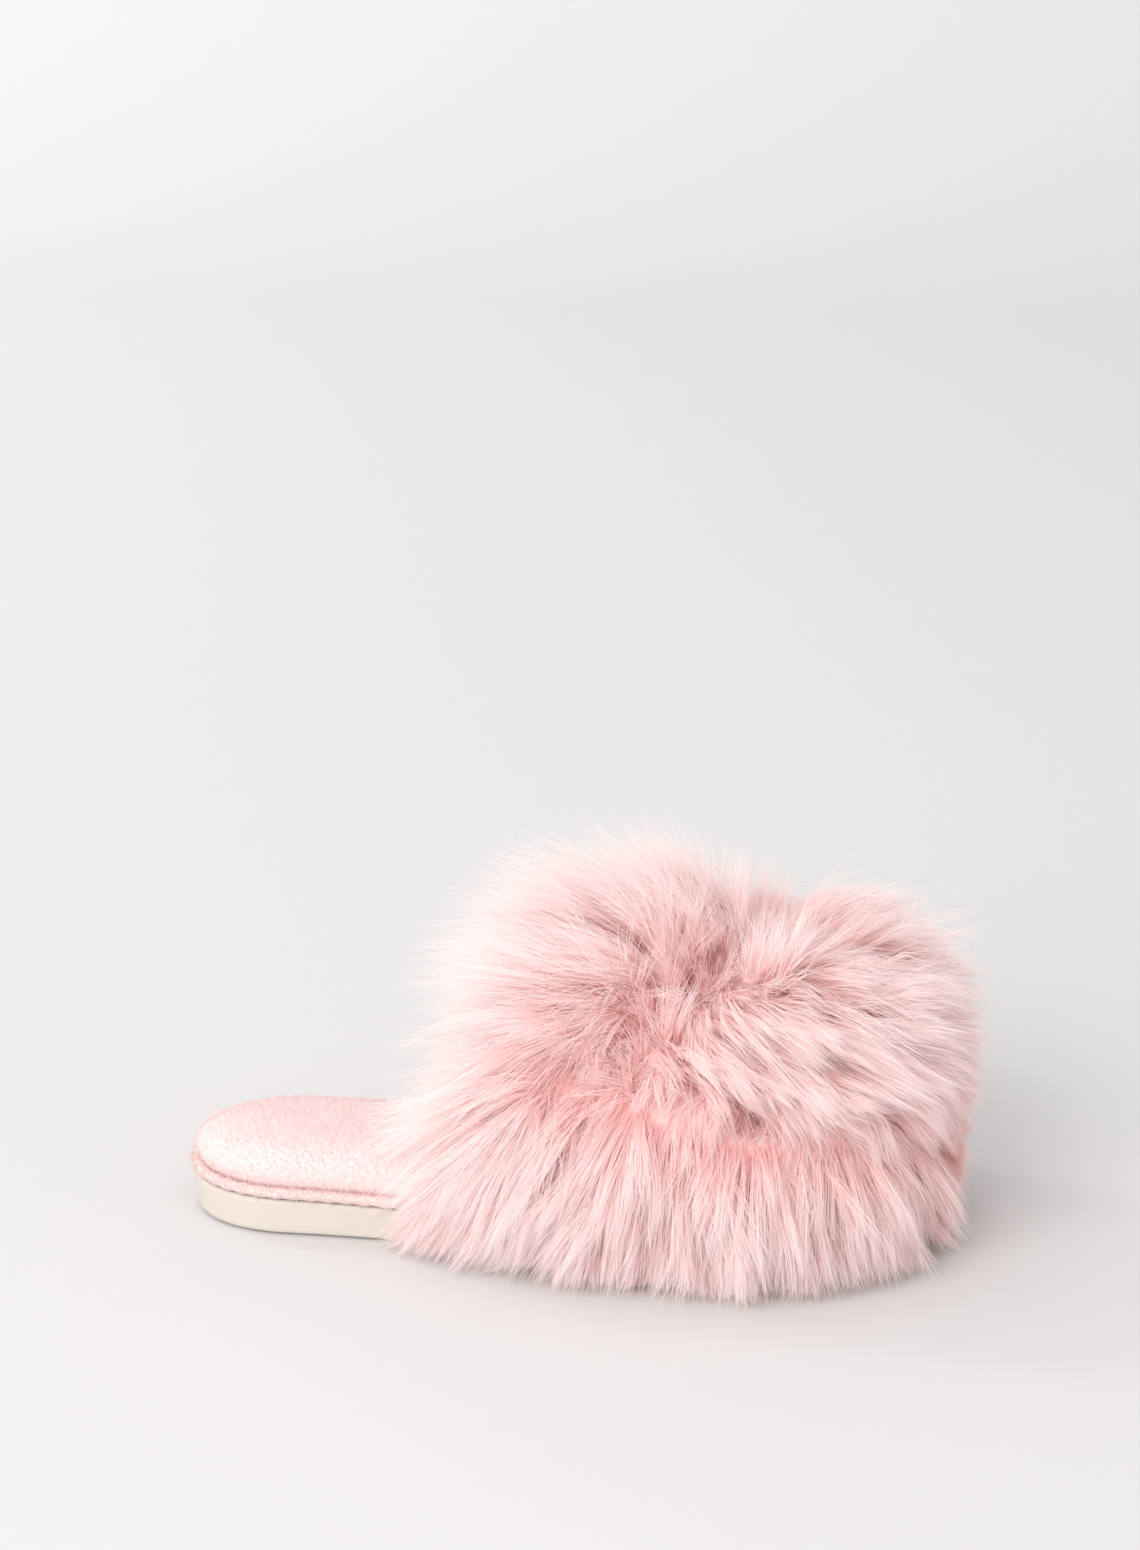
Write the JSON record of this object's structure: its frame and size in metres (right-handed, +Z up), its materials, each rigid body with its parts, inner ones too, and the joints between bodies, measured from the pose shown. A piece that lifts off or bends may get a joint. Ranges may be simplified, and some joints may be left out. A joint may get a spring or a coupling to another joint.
{
  "type": "fur slipper",
  "caption": "Backless slipper with a deep long-pile fur vamp, a padded plush footbed, a plush piping and a cream moulded sole.",
  "frame": {"origin": "on the floor, below the middle of the sole's length, on the line from heel to toe", "axes": "+X from heel to toe, -Y to the outer (little toe) side, +Z up"},
  "size_m": [0.2812, 0.1565, 0.1421],
  "materials": {
    "outsole": "matt moulded foam rubber, cream",
    "footbed": "short plush, pale pink",
    "piping": "plush-covered cord, pale pink",
    "vamp": "plush lining on a fabric backing, pink",
    "fur": "long silky pile, pink with paler tips"
  },
  "bodies": {
    "root": {"outsole": "outsole", "footbed": "footbed", "piping": "piping", "vamp": "vamp", "fur": "fur"}
  },
  "joints": []
}
